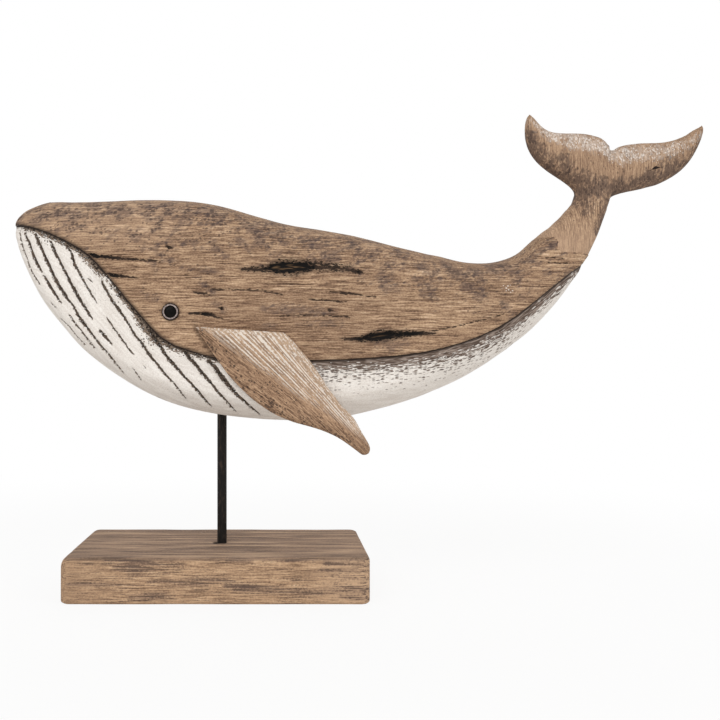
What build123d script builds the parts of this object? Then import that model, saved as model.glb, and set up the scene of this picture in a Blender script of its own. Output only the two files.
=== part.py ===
from build123d import *
import os

# A whale figurine carved from reclaimed timber, held up by one steel rod on a plank base.
# All lengths are in millimetres. The origin is the centre of the base's underside, on the rod's axis.
# The whale's nose points along -X, its back along +Z, and its left flank faces -Y.

os.makedirs("parts", exist_ok=True)

# Plank base
base_length = 181.8
base_depth = 101.0
base_height = 27.0
base_corner_round = 6.0
base_edge_round = 2.0
base_off_rod = 1.4

# Support rod: glued into the base, pushed into the belly so that the whale can be turned on it
rod_diameter = 6.0
rod_show = 79.0
rod_in_base = 20.0
rod_in_belly = 34.0
rod_end_chamfer = 0.6
rod_running_play = 0.05

# Whale body, from the nose to the crotch of the flukes and from the belly to the crown of the back
body_length = 380.0
body_height = 160.0
body_width = 80.0
back_round = 30.0
belly_round = 17.0
jaw_step = 1.7
nose_share = 0.3447

# Throat pleats
pleat_width = 1.6
pleat_depth = 1.3

# Flukes
fluke_span = 114.0
fluke_height = 57.0
fluke_thickness = 21.0

# Side fins
fin_length = 102.0
fin_drop = 76.0
fin_thickness = 10.0
fin_edge = 2.6
fin_flare = 15.0
fin_glue_line = 0.1

# Hidden wooden pegs and their glue room
fin_peg_diameter = 6.0
fin_peg_in_fin = 5.5
fin_peg_in_body = 12.0
tail_peg_diameter = 6.0
tail_peg_depth = 9.0
tail_peg_spread = 11.0
peg_play = 0.05

# Eyes: a metal tube in a bored socket, with a black plug inside
eye_ring_diameter = 10.4
eye_ring_bore = 6.8
eye_ring_depth = 7.0
eye_ring_proud = 0.6
eye_ring_bevel = 0.4
pupil_sunk = 0.5
pupil_dome = 0.4
eye_play = 0.03

# Room by which every cutting shape runs past what it cuts
overrun = 5.0

# Carved cross sections from the nose to the crotch of the flukes. Each row holds the back point and the
# belly point, along body_length and up body_height, and then the section's part of body_width.
body_section_shares = [
    (0.003, 0.784, 0.001, 0.731, 0.20),
    (0.007, 0.806, 0.007, 0.675, 0.38),
    (0.016, 0.826, 0.016, 0.615, 0.53),
    (0.031, 0.845, 0.033, 0.532, 0.71),
    (0.054, 0.863, 0.054, 0.449, 0.85),
    (0.088, 0.869, 0.088, 0.351, 0.96),
    (0.133, 0.871, 0.133, 0.244, 1.00),
    (0.191, 0.873, 0.191, 0.149, 1.00),
    (0.258, 0.873, 0.258, 0.072, 1.00),
    (0.317, 0.861, 0.325, 0.030, 1.00),
    (0.375, 0.829, 0.392, 0.008, 1.00),
    (0.451, 0.778, 0.467, 0.000, 1.00),
    (0.526, 0.750, 0.551, 0.014, 1.00),
    (0.596, 0.720, 0.626, 0.060, 0.99),
    (0.660, 0.681, 0.702, 0.118, 0.95),
    (0.710, 0.650, 0.764, 0.188, 0.88),
    (0.748, 0.629, 0.814, 0.272, 0.79),
    (0.784, 0.624, 0.852, 0.336, 0.71),
    (0.810, 0.633, 0.881, 0.401, 0.64),
    (0.837, 0.657, 0.906, 0.467, 0.56),
    (0.857, 0.695, 0.929, 0.540, 0.50),
    (0.879, 0.735, 0.949, 0.613, 0.44),
    (0.902, 0.785, 0.965, 0.685, 0.39),
    (0.922, 0.834, 0.978, 0.754, 0.34),
    (0.936, 0.872, 0.989, 0.826, 0.31),
    (0.943, 0.897, 0.996, 0.874, 0.30),
    (0.944, 0.933, 0.999, 0.913, 0.29),
    (0.942, 0.985, 0.999, 0.969, 0.25),
]
section_round_limit_share = 0.44
white_end_shares = (0.930, 0.980)

# Carved jaw line on the flank, from ahead of the nose to beyond the underside of the tail stock
jaw_line_shares = [
    (-0.030, 0.769),
    (0.026, 0.755),
    (0.076, 0.715),
    (0.126, 0.654),
    (0.153, 0.599),
    (0.182, 0.516),
    (0.221, 0.406),
    (0.253, 0.323),
    (0.300, 0.271),
    (0.355, 0.237),
    (0.426, 0.232),
    (0.505, 0.236),
    (0.584, 0.244),
    (0.663, 0.264),
    (0.732, 0.303),
    (0.791, 0.361),
    (0.847, 0.450),
    (0.891, 0.529),
    (0.942, 0.618),
    (1.000, 0.730),
]

# Throat pleats on the flank, each from the jaw line to its pointed end near the underside
pleat_shares = [
    [(0.015, 0.747), (0.022, 0.663), (0.038, 0.586), (0.059, 0.516)],
    [(0.025, 0.755), (0.040, 0.658), (0.065, 0.566), (0.094, 0.450)],
    [(0.047, 0.733), (0.071, 0.617), (0.103, 0.478), (0.142, 0.343), (0.195, 0.185)],
    [(0.077, 0.701), (0.099, 0.581), (0.127, 0.457), (0.176, 0.296)],
    [(0.102, 0.678), (0.121, 0.579), (0.154, 0.444), (0.211, 0.256)],
    [(0.156, 0.558), (0.177, 0.457), (0.221, 0.307), (0.293, 0.089)],
    [(0.230, 0.367), (0.260, 0.258), (0.301, 0.147), (0.334, 0.059)],
    [(0.285, 0.288), (0.320, 0.183), (0.375, 0.033)],
    [(0.323, 0.251), (0.360, 0.146), (0.412, 0.027)],
]

# Stepped joint between body and tail: where its upright wall stands and its two level shelves lie
joint_wall_share = 0.895
joint_upper_share = 0.715
joint_lower_share = 0.649
tail_peg_share = 0.916

# Flukes: rows hold a trailing point and a leading point along fluke_span and up fluke_height, and the
# section's part of fluke_thickness. They are measured from the crotch.
crotch_shares = (0.978, 0.875)
left_fluke_shares = [
    (0.040, 0.430, 0.002, -0.067, 0.95),
    (0.012, 0.700, -0.130, 0.078, 1.00),
    (-0.065, 0.750, -0.168, 0.172, 0.95),
    (-0.177, 0.760, -0.258, 0.295, 0.84),
    (-0.266, 0.772, -0.343, 0.432, 0.70),
    (-0.316, 0.828, -0.394, 0.586, 0.56),
    (-0.348, 0.900, -0.412, 0.749, 0.42),
    (-0.372, 0.953, -0.409, 0.876, 0.28),
    (-0.384, 0.976, -0.398, 0.945, 0.14),
]
right_fluke_shares = [
    (0.036, 0.469, 0.002, -0.067, 0.90),
    (0.082, 0.578, 0.072, 0.030, 0.98),
    (0.181, 0.638, 0.195, 0.100, 0.92),
    (0.304, 0.649, 0.341, 0.188, 0.82),
    (0.404, 0.675, 0.454, 0.322, 0.70),
    (0.483, 0.738, 0.523, 0.474, 0.54),
    (0.535, 0.796, 0.566, 0.632, 0.40),
    (0.569, 0.832, 0.587, 0.758, 0.26),
    (0.583, 0.850, 0.590, 0.820, 0.14),
]

# Fins: rows hold a leading point and a trailing point along fin_length and up fin_drop, then the
# section's part of fin_thickness and of fin_flare. They are measured from the root's front corner.
fin_root_shares = (0.312, 0.361)
fin_section_shares = [
    (0.000, -0.008, 0.488, -0.047, 0.55, 0.00),
    (0.024, -0.063, 0.535, -0.099, 0.85, 0.00),
    (0.071, -0.166, 0.587, -0.166, 1.00, 0.00),
    (0.148, -0.321, 0.663, -0.277, 1.00, 0.02),
    (0.254, -0.490, 0.739, -0.427, 0.95, 0.08),
    (0.383, -0.631, 0.808, -0.560, 0.88, 0.22),
    (0.546, -0.742, 0.873, -0.664, 0.78, 0.42),
    (0.731, -0.815, 0.937, -0.776, 0.64, 0.66),
    (0.862, -0.904, 0.981, -0.884, 0.52, 0.86),
    (0.925, -0.970, 0.998, -0.950, 0.44, 0.96),
    (0.952, -0.998, 0.987, -0.988, 0.30, 1.00),
]
fin_ridge_share = 0.42
fin_peg_shares = [(0.206, -0.134), (0.406, -0.190)]

# Eye centre on the flank
eye_shares = (0.269, 0.416)

# Values worked out from the sizes above
nose_x = -nose_share * body_length
belly_z = base_height + rod_show
flank_y = body_width / 2
fin_back_y = -flank_y - fin_glue_line
rod_radius = rod_diameter / 2
rod_bore_radius = rod_radius + rod_running_play
rod_top_z = belly_z + rod_in_belly
eye_socket_radius = eye_ring_diameter / 2 + eye_play
pupil_radius = eye_ring_bore / 2 - eye_play
eye_socket_y = flank_y + eye_ring_proud - eye_ring_depth


def body_point(along_share, up_share):
    """A point of the whale's middle plane, from shares of the body's length and height."""
    return Vector(nose_x + along_share * body_length, 0, belly_z + up_share * body_height)


def make_base_block():
    """Plank with softened edges, bored a little off its middle for the rod."""
    plank = extrude(RectangleRounded(base_length, base_depth, base_corner_round), base_height)
    plank = fillet(plank.faces().sort_by(Axis.Z)[-1].edges(), base_edge_round)
    plank = chamfer(plank.faces().sort_by(Axis.Z)[0].edges(), base_edge_round / 2)
    socket = Pos(0, 0, base_height - rod_in_base) * extrude(Circle(rod_radius), rod_in_base + overrun)
    return Pos(-base_off_rod, 0, 0) * plank - socket


def make_support_rod():
    """Straight rod from the floor of its socket to the end of the bore in the belly."""
    length = rod_top_z - (base_height - rod_in_base)
    rod = Pos(0, 0, base_height - rod_in_base) * extrude(Circle(rod_radius), length)
    return chamfer(rod.faces().sort_by(Axis.Z)[-1].edges(), rod_end_chamfer)


def body_section(shares, inset, under_inset):
    """One closed cross section: domed back, flat flanks and a rounder belly, drawn in by two insets."""
    back_x, back_z, under_x, under_z, width_share = shares
    back = body_point(back_x, back_z)
    under = body_point(under_x, under_z)
    up = (back - under).normalized()
    plane = Plane(origin=under + up * under_inset, x_dir=(0, 1, 0), z_dir=Vector(0, 1, 0).cross(up))
    tall = (back - under).length - inset - under_inset
    half = width_share * body_width / 2 - inset
    top_drop = min(back_round, section_round_limit_share * tall)
    low_rise = min(belly_round, section_round_limit_share * tall)
    outline = [
        EllipticalCenterArc((0, tall - top_drop), half, top_drop, 0, arc_size=90),
        EllipticalCenterArc((0, tall - top_drop), half, top_drop, 90, arc_size=90),
        Line((-half, tall - top_drop), (-half, low_rise)),
        EllipticalCenterArc((0, low_rise), half, low_rise, 180, arc_size=90),
        EllipticalCenterArc((0, low_rise), half, low_rise, 270, arc_size=90),
        Line((half, low_rise), (half, tall - top_drop)),
    ]
    return plane * make_face(outline)


def brown_form():
    """The whole whale body and tail stock at full size."""
    return loft([body_section(shares, 0, 0) for shares in body_section_shares])


def white_form(depth):
    """The same form under the paint, set back by the jaw step all round but for the belly's underside.

    The setback runs onto the underside where the paint ends, so that the step closes under the tail.
    """
    start, end = white_end_shares
    sections = []
    for shares in body_section_shares:
        fade = min(max((shares[2] - start) / (end - start), 0), 1)
        sections.append(body_section(shares, jaw_step + depth, fade * jaw_step + depth))
    return loft(sections)


def above_jaw_line():
    """Everything above the jaw line, as one thick slab across the whale."""
    line = [body_point(along, up) for along, up in jaw_line_shares]
    ceiling = body_point(0, 1).Z + fluke_height
    last = Vector(line[-1].X, 0, ceiling)
    first = Vector(line[0].X, 0, ceiling)
    edges = [Spline(*line), Line(line[-1], last), Line(last, first), Line(first, line[0])]
    return extrude(make_face(edges), body_width, both=True, dir=(0, 1, 0))


def pleat_blade(shares):
    """A thin curved blade across the whole whale, pointed at both ends."""
    line = [body_point(along, up) for along, up in shares]
    middle = []
    for before, point, after in zip(line, line[1:], line[2:]):
        along = (after - before).normalized()
        middle.append((point, Vector(along.Z, 0, -along.X) * (pleat_width / 2)))
    front_edge = Spline(line[0], *[point + aside for point, aside in middle], line[-1])
    rear_edge = Spline(line[0], *[point - aside for point, aside in middle], line[-1])
    return extrude(make_face([front_edge, rear_edge]), body_width, both=True, dir=(0, 1, 0))


def fluke(rows):
    """One fluke as a tapering blade with oval sections."""
    crotch = body_point(*crotch_shares)
    sections = []
    for trail_x, trail_z, lead_x, lead_z, thick_share in rows:
        trail = crotch + Vector(trail_x * fluke_span, 0, trail_z * fluke_height)
        lead = crotch + Vector(lead_x * fluke_span, 0, lead_z * fluke_height)
        chord = trail - lead
        plane = Plane(origin=(trail + lead) / 2, x_dir=chord, z_dir=chord.cross(Vector(0, 1, 0)))
        sections.append(plane * Ellipse(chord.length / 2, thick_share * fluke_thickness / 2))
    return loft(sections)


def tail_side():
    """Everything on the tail's side of the stepped joint."""
    wall = body_point(joint_wall_share, joint_upper_share)
    lower_z = body_point(0, joint_lower_share).Z
    far_x = body_point(1, 0).X + fluke_span
    near_x = wall.X - body_width
    high_z = body_point(0, 1).Z + fluke_height
    outline = Polyline(
        (near_x, 0, wall.Z), (wall.X, 0, wall.Z), (wall.X, 0, lower_z),
        (far_x, 0, lower_z), (far_x, 0, high_z), (near_x, 0, high_z), close=True,
    )
    return extrude(make_face(outline), body_width, both=True, dir=(0, 1, 0))


def fin_point(along_share, up_share, y):
    """A point of the left fin, from shares of its length and drop."""
    root = body_point(*fin_root_shares)
    return Vector(root.X + along_share * fin_length, y, root.Z + up_share * fin_drop)


def make_left_fin():
    """Carved leaf with a flat back, a soft ridge and a tip that leans away from the flank."""
    sections = []
    for lead_x, lead_z, trail_x, trail_z, thick_share, flare_share in fin_section_shares:
        back_y = fin_back_y - flare_share * fin_flare
        lead = fin_point(lead_x, lead_z, back_y)
        trail = fin_point(trail_x, trail_z, back_y)
        chord = trail - lead
        plane = Plane(origin=lead, x_dir=chord, z_dir=chord.cross(Vector(0, -1, 0)))
        wide = chord.length
        thick = fin_edge + thick_share * (fin_thickness - fin_edge)
        outer = Spline((wide, fin_edge), (wide * fin_ridge_share, thick), (0, fin_edge))
        edges = [
            Line((0, 0), (wide, 0)),
            Line((wide, 0), (wide, fin_edge)),
            outer,
            Line((0, fin_edge), (0, 0)),
        ]
        sections.append(plane * make_face(edges))
    return loft(sections)


def fin_peg_solids(radius):
    """The two pegs behind the left fin, or their holes, square to the flank."""
    long = fin_peg_in_fin + fin_peg_in_body
    starts = [fin_point(along, up, fin_back_y - fin_peg_in_fin) for along, up in fin_peg_shares]
    return [extrude(Plane(origin=start, z_dir=(0, 1, 0)) * Circle(radius), long) for start in starts]


def tail_peg_solids(radius):
    """Two upright pegs, or their holes, across the lower shelf of the stepped joint."""
    middle = body_point(tail_peg_share, joint_lower_share)
    peg = Cylinder(radius, 2 * tail_peg_depth)
    return [Pos(middle.X, side * tail_peg_spread / 2, middle.Z) * peg for side in (-1, 1)]


def eye_plane(y):
    """A plane on the left flank at the eye, looking outwards."""
    centre = body_point(*eye_shares)
    return Plane(origin=(centre.X, y, centre.Z), x_dir=(1, 0, 0), z_dir=(0, -1, 0))


def make_left_eye_ring():
    """Short metal tube whose rim stands a little proud of the flank."""
    ring = extrude(Circle(eye_ring_diameter / 2) - Circle(eye_ring_bore / 2), eye_ring_depth)
    ring = chamfer(ring.faces().sort_by(Axis.Z)[-1].edges(), eye_ring_bevel)
    return eye_plane(-eye_socket_y) * ring


def make_left_pupil():
    """Black plug in the ring, with a slightly domed face."""
    height = eye_ring_depth - pupil_sunk
    crown = Line((pupil_radius, height - pupil_dome), (pupil_radius, 0))
    dome = ThreePointArc((0, height), (pupil_radius / 2, height - pupil_dome / 4), crown @ 0)
    profile = make_face([dome, crown, Line(crown @ 1, (0, 0)), Line((0, 0), (0, height))])
    plug = revolve(Plane.XZ * profile, Axis.Z)
    return eye_plane(-eye_socket_y) * plug


def make_eye_socket():
    """Blind bore for the left eye's ring."""
    bore = extrude(Circle(eye_socket_radius), eye_ring_depth + overrun)
    return eye_plane(-eye_socket_y) * bore


def carved_whale():
    """Head, trunk, tail stock and flukes in one: the step at the jaw line and the throat pleats are cut."""
    blades = Part() + [pleat_blade(shares) for shares in pleat_shares]
    white_part = white_form(0) - (blades - white_form(pleat_depth))
    brown_part = brown_form() & above_jaw_line()
    return white_part + brown_part + fluke(left_fluke_shares) + fluke(right_fluke_shares)


def other_side(shape):
    """The same piece on the whale's right side."""
    return mirror(shape, about=Plane.XZ)


def make_body_and_tail():
    """The carved whale cut at the stepped joint, each half with its bores."""
    whale = carved_whale()
    fin_holes = fin_peg_solids(fin_peg_diameter / 2 + peg_play)
    sockets = [make_eye_socket(), *fin_holes]
    bores = sockets + [other_side(socket) for socket in sockets]
    bores += tail_peg_solids(tail_peg_diameter / 2 + peg_play)
    bores.append(Pos(0, 0, belly_z - overrun) * extrude(Circle(rod_bore_radius), rod_in_belly + overrun))
    for bore in bores:
        whale = whale - bore
    return whale - tail_side(), whale & tail_side()


body_block, tail_block = make_body_and_tail()
left_fin = make_left_fin()
for fin_hole in fin_peg_solids(fin_peg_diameter / 2 + peg_play):
    left_fin = left_fin - fin_hole
left_fin_dowels = Compound(children=fin_peg_solids(fin_peg_diameter / 2))
left_eye_ring = make_left_eye_ring()
left_pupil = make_left_pupil()

nodes = {
    "base_block": make_base_block(),
    "support_rod": make_support_rod(),
    "body_block": body_block,
    "tail_block": tail_block,
    "tail_dowels": Compound(children=tail_peg_solids(tail_peg_diameter / 2)),
    "left_fin": left_fin,
    "right_fin": other_side(left_fin),
    "left_fin_dowels": left_fin_dowels,
    "right_fin_dowels": other_side(left_fin_dowels),
    "left_eye_ring": left_eye_ring,
    "right_eye_ring": other_side(left_eye_ring),
    "left_pupil": left_pupil,
    "right_pupil": other_side(left_pupil),
}
for name, shape in nodes.items():
    export_step(shape, f"parts/{name}.step")
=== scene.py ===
import math

import bmesh
import bpy
import numpy as np
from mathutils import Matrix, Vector, noise


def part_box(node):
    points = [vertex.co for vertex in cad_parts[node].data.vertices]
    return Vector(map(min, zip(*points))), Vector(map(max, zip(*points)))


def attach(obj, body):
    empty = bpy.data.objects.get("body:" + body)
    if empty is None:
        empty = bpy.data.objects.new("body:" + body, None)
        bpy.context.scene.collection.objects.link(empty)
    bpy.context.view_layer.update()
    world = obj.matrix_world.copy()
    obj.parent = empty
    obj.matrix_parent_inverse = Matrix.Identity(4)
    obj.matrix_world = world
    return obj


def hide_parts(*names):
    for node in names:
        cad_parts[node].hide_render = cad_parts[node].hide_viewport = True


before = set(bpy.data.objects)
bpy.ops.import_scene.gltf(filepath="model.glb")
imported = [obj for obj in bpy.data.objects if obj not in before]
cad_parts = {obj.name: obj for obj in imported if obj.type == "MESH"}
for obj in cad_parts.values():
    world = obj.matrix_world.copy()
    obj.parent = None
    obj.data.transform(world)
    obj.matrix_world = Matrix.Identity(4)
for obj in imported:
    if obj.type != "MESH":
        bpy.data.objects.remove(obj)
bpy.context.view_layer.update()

# The studio: a pale seamless floor, a white surround, one wide soft lamp in front of the whale and two
# weaker ones, and the camera level with the whale's belly, square to its left flank.
mm = 0.001
image_width = 720
whale_middle = Vector((0.05, 0, 0.17))

bpy.context.scene.view_settings.view_transform = "Standard"

camera_data = bpy.data.cameras.new("camera")
camera_data.lens = 48.44
camera_data.sensor_width = 36
camera_data.shift_x = 85 / image_width
camera_data.shift_y = 11 / image_width
camera = bpy.data.objects.new("camera", camera_data)
camera.location = (33.9 * mm, -620 * mm, 137.1 * mm)
camera.rotation_euler = (math.pi / 2, 0, 0)
bpy.context.collection.objects.link(camera)
bpy.context.scene.camera = camera


def soft_lamp(name, place, power, width):
    """A square soft lamp that looks at the whale's middle."""
    data = bpy.data.lights.new(name, "AREA")
    data.energy = power
    data.size = width
    lamp = bpy.data.objects.new(name, data)
    lamp.location = place
    lamp.rotation_euler = (whale_middle - lamp.location).to_track_quat("-Z", "Y").to_euler()
    bpy.context.collection.objects.link(lamp)


soft_lamp("front_lamp", (-0.5, -1.3, 1.1), 11, 1.3)
soft_lamp("right_lamp", (1.3, -0.9, 0.7), 4, 1)
soft_lamp("rear_lamp", (0.2, 1.4, 1.2), 5, 1.2)


class Value:
    """A socket whose number varies over a finish. Sums on it become Math nodes."""

    def __init__(self, finish, socket):
        self.finish = finish
        self.socket = socket

    def math(self, operation, first, second=0):
        return self.finish.node("Math", {"operation": operation}, {0: first, 1: second})

    def __add__(self, other):
        return self.math("ADD", self, other)

    def __sub__(self, other):
        return self.math("SUBTRACT", self, other)

    def __rsub__(self, other):
        return self.math("SUBTRACT", other, self)

    def __mul__(self, other):
        return self.math("MULTIPLY", self, other)

    def __truediv__(self, other):
        return self.math("DIVIDE", self, other)

    __radd__ = __add__
    __rmul__ = __mul__

    def __abs__(self):
        return self.math("ABSOLUTE", self)

    def either(self, other):
        return self.math("MAXIMUM", self, other)

    def step(self, low, high):
        """0 below low, 1 above high and smooth between them. With low above high it falls instead."""
        if low > high:
            return 1 - self.step(high, low)
        settings = {"interpolation_type": "SMOOTHSTEP"}
        return self.finish.node("MapRange", settings, {"Value": self, "From Min": low, "From Max": high})


def shade(red, green, blue):
    """A colour as it is read on a screen, from 0 to 255, in the form that shaders take."""
    return [*(((part / 255 + 0.055) / 1.055) ** 2.4 for part in (red, green, blue)), 1]


class Finish:
    """A material with one Principled shader. Colours are given to it as Values, or in three parts from
    0 to 255, as a screen shows them."""

    def __init__(self, name, roughness=0.8, specular=0.25, metallic=0):
        self.material = bpy.data.materials.new(name)
        self.material.use_nodes = True
        self.tree = self.material.node_tree
        self.shader = self.tree.nodes["Principled BSDF"]
        self.shader.inputs["Roughness"].default_value = roughness
        self.shader.inputs["Specular IOR Level"].default_value = specular
        self.shader.inputs["Metallic"].default_value = metallic
        self.place = self.node("TexCoord", {}, {}, "Object")
        self.colour = None

    def node(self, kind, settings, sockets, output=0):
        """A new node: its type, its settings, its sockets' values or links, and the output that is used."""
        node = self.tree.nodes.new("ShaderNode" + kind)
        for key, value in settings.items():
            if key == "stops":
                ramp = node.color_ramp.elements
                while len(ramp) < len(value):
                    ramp.new(1)
                for stop, (position, *colour) in zip(ramp, value):
                    stop.position = position
                    stop.color = shade(*colour)
            else:
                setattr(node, key, value)
        for key, value in sockets.items():
            if isinstance(value, Value):
                self.tree.links.new(value.socket, node.inputs[key])
            else:
                node.inputs[key].default_value = value
        return Value(self, node.outputs[output])

    def axis(self, name):
        """Where each point lies along X, Y or Z, in metres."""
        return self.node("SeparateXYZ", {}, {0: self.place}, name)

    def spot(self, x, y, z):
        """A place made of three numbers."""
        return self.node("CombineXYZ", {}, {0: x, 1: y, 2: z})

    def blend(self, share, first, second):
        """The second colour over this share of the first."""
        first, second = (item if isinstance(item, Value) else shade(*item) for item in (first, second))
        return self.node("Mix", {"data_type": "RGBA"}, {0: share, 6: first, 7: second}, 2)

    def cover(self, share, colour):
        """Lays a colour over this share of the finish's own."""
        self.colour = self.blend(share, self.colour, colour)

    def ramp(self, value, stops):
        """Colours along a value: each stop is its place from 0 to 1 and then its colour."""
        return self.node("ValToRGB", {"stops": stops}, {"Fac": value})

    def stored(self, name):
        """A number that was stored on the piece's points."""
        return self.node("Attribute", {"attribute_name": name}, {}, "Fac")

    def spread(self, lengths, turn, shift, place):
        """A place counted in these lengths (in millimetres along X, Y and Z)."""
        scale = [1 / (length * mm) for length in lengths]
        sockets = {"Vector": place or self.place, "Rotation": turn, "Location": shift}
        turned = self.node("Mapping", {}, sockets)
        return self.node("Mapping", {}, {"Vector": turned, "Scale": scale})

    def mottle(self, lengths, detail=2, turn=(0, 0, 0), shift=(0, 0, 0), place=None, rough=0.5):
        """Noise whose spots have these lengths."""
        sockets = {"Vector": self.spread(lengths, turn, shift, place), "Scale": 1}
        return self.node("TexNoise", {}, {**sockets, "Detail": detail, "Roughness": rough})

    def marks(self, lengths, share, turn=(0, 0, 0), shift=(0, 0, 0), place=None):
        """Marks in this share of the cells of these lengths. From a share of 1.5 they cover everything."""
        sockets = {"Vector": self.spread(lengths, turn, shift, place), "Scale": 1}
        gap = self.node("TexVoronoi", {}, sockets, "Distance")
        pick = self.node("SeparateXYZ", {}, {0: Value(self, gap.socket.node.outputs["Color"])}, "X")
        chosen = share - pick
        return (chosen * 0.7 + 0.32 - gap).step(0, 0.2) * chosen.step(0, 0.04)

    def drifted(self, place, reach, scale=28):
        """The place moved about by slow noise, up to that far (in millimetres)."""
        drift = self.node("TexNoise", {}, {"Vector": place, "Scale": scale, "Detail": 1}, "Color")
        sockets = {0: drift, 1: (reach * mm, reach * mm, reach * mm), 2: place}
        return self.node("VectorMath", {"operation": "MULTIPLY_ADD"}, sockets)

    def join(self, roughness=None, height=None, depth=0.3):
        """Joins colour, roughness and relief (in millimetres) to the shader, and returns the material."""
        self.tree.links.new(self.colour.socket, self.shader.inputs["Base Color"])
        if roughness:
            self.tree.links.new(roughness.socket, self.shader.inputs["Roughness"])
        if height:
            bump = self.node("Bump", {}, {"Height": height, "Distance": depth * mm, "Strength": 1})
            self.tree.links.new(bump.socket, self.shader.inputs["Normal"])
        return self.material


# The floor: it holds the whale's shadow and turns pure white further out
def floor_finish():
    floor = Finish("pale_floor", roughness=1, specular=0)
    floor.shader.inputs["Base Color"].default_value = shade(240, 239, 237)
    distance = floor.node("VectorMath", {"operation": "LENGTH"}, {0: floor.place}, "Value")
    seen = floor.node("LightPath", {}, {}, "Is Camera Ray")
    seen = seen.either(floor.node("LightPath", {}, {}, "Is Glossy Ray"))
    white = seen * (0.88 + 0.12 * distance.step(0.25, 0.7))
    glow = floor.node("Emission", {}, {"Color": (1, 1, 1, 1), "Strength": 1})
    mixed = floor.node("MixShader", {}, {0: white, 1: Value(floor, floor.shader.outputs[0]), 2: glow})
    floor.tree.links.new(mixed.socket, floor.tree.nodes["Material Output"].inputs["Surface"])
    return floor.material


def new_piece(name, mesh, finish):
    """An object at the origin with one material."""
    piece = bpy.data.objects.new(name, mesh)
    mesh.materials.clear()
    mesh.materials.append(finish)
    bpy.context.collection.objects.link(piece)
    return piece


floor_mesh = bpy.data.meshes.new("floor")
bm = bmesh.new()
bmesh.ops.create_grid(bm, x_segments=1, y_segments=1, size=20)
bm.to_mesh(floor_mesh)
bm.free()
new_piece("floor", floor_mesh, floor_finish())

world = bpy.data.worlds.new("white_surround")
bpy.context.scene.world = world
world.use_nodes = True
sky = world.node_tree.nodes["Background"]
rays = world.node_tree.nodes.new("ShaderNodeLightPath")
level = world.node_tree.nodes.new("ShaderNodeMix")
level.inputs["A"].default_value = 0.62
level.inputs["B"].default_value = 1
world.node_tree.links.new(rays.outputs["Is Camera Ray"], level.inputs["Factor"])
world.node_tree.links.new(level.outputs[0], sky.inputs["Strength"])
sky.inputs["Color"].default_value = (1, 1, 1, 1)


# The base: a short plank of old timber with worn round edges, stained greyer on its top than on its
# sides. The rod stands in a hole a little off its middle, with a chip broken out beside it.
def smoothed(bm, verts):
    """Draws these points halfway to their neighbours."""
    bmesh.ops.smooth_vert(bm, verts=verts, factor=0.5, use_axis_x=True, use_axis_y=True, use_axis_z=True)


def even_copy(node, name, face, rounds, moved=None):
    """A CAD node's form in small even faces, ready to be worn and carved. Its points may be moved first."""
    bm = bmesh.new()
    bm.from_mesh(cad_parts[node].data)
    bmesh.ops.remove_doubles(bm, verts=bm.verts, dist=0.001 * mm)
    if moved:
        for vert in bm.verts:
            vert.co = moved(vert.co)
    mesh = bpy.data.meshes.new(name)
    bm.to_mesh(mesh)
    bm.free()
    source = bpy.data.objects.new(name, mesh)
    bpy.context.collection.objects.link(source)
    remesh = source.modifiers.new("even_faces", "REMESH")
    remesh.mode = "VOXEL"
    remesh.voxel_size = face * mm
    even = bpy.data.meshes.new_from_object(source.evaluated_get(bpy.context.evaluated_depsgraph_get()))
    bpy.data.objects.remove(source)
    bm = bmesh.new()
    bm.from_mesh(even)
    for _ in range(rounds):
        smoothed(bm, bm.verts)
    bm.to_mesh(even)
    bm.free()
    even.name = name
    return even


def read_points(mesh):
    """The mesh's points in millimetres and their normals."""
    points, normals = np.zeros((2, len(mesh.vertices) * 3), np.float32)
    mesh.vertices.foreach_get("co", points)
    mesh.vertex_normals.foreach_get("vector", normals)
    return points.reshape(-1, 3).astype(float) / mm, normals.reshape(-1, 3).astype(float)


def write_points(mesh, points):
    """Puts the points back, and shades the faces smooth."""
    mesh.vertices.foreach_set("co", (points * mm).astype(np.float32).ravel())
    mesh.polygons.foreach_set("use_smooth", [True] * len(mesh.polygons))
    mesh.update()


def store(mesh, **numbers):
    """Stores numbers on the points under their names, for the finish to read."""
    for name, values in numbers.items():
        attribute = mesh.attributes.new(name, "FLOAT", "POINT")
        attribute.data.foreach_set("value", np.asarray(values, np.float32))


def bumpy(points, length, seed):
    """Smooth noise from -1 to 1, with bumps of that length in millimetres."""
    shift = Vector((seed * 17.3, seed * 5.1, seed * 9.7))
    return np.array([noise.noise(Vector(point) / length + shift) for point in points])


def hollow(places, centre, reach):
    """1 at the centre of a soft round hollow, and down to 0 beyond its reach."""
    return np.exp(-(((places - centre) / reach) ** 2).sum(axis=1))


def from_line(points, line):
    """Each point's distance from a drawn line, signed by its side, and half the line's width there."""
    gap = np.full(len(points), np.inf)
    side = np.ones(len(points))
    half = np.zeros(len(points))
    for start, end in zip(line, line[1:]):
        run = np.array((end[0] - start[0], end[1] - start[1]))
        offset = points - start[:2]
        share = np.clip(offset @ run / (run @ run), 0, 1)
        distance = np.hypot(*(offset - share[:, None] * run).T)
        closer = distance < gap
        gap[closer] = distance[closer]
        side = np.where(closer, np.sign(run[0] * offset[:, 1] - run[1] * offset[:, 0]), side)
        if len(start) > 2:
            half = np.where(closer, start[2] + share * (end[2] - start[2]), half)
    return gap * side, half


def from_lines(points, lines):
    """The same for the nearest of several lines, where nearest is measured from the line's edge."""
    best, best_half = np.full(len(points), far_off), np.zeros(len(points))
    for line in lines:
        distance, half = from_line(points, line)
        closer = np.abs(distance) - half < np.abs(best) - best_half
        best = np.where(closer, distance, best)
        best_half = np.where(closer, half, best_half)
    return best, best_half


def within(points, lines):
    """How far each point lies inside the nearest of several lines (below 0 outside)."""
    distance, half = from_lines(points, lines)
    return half - np.abs(distance)


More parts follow.
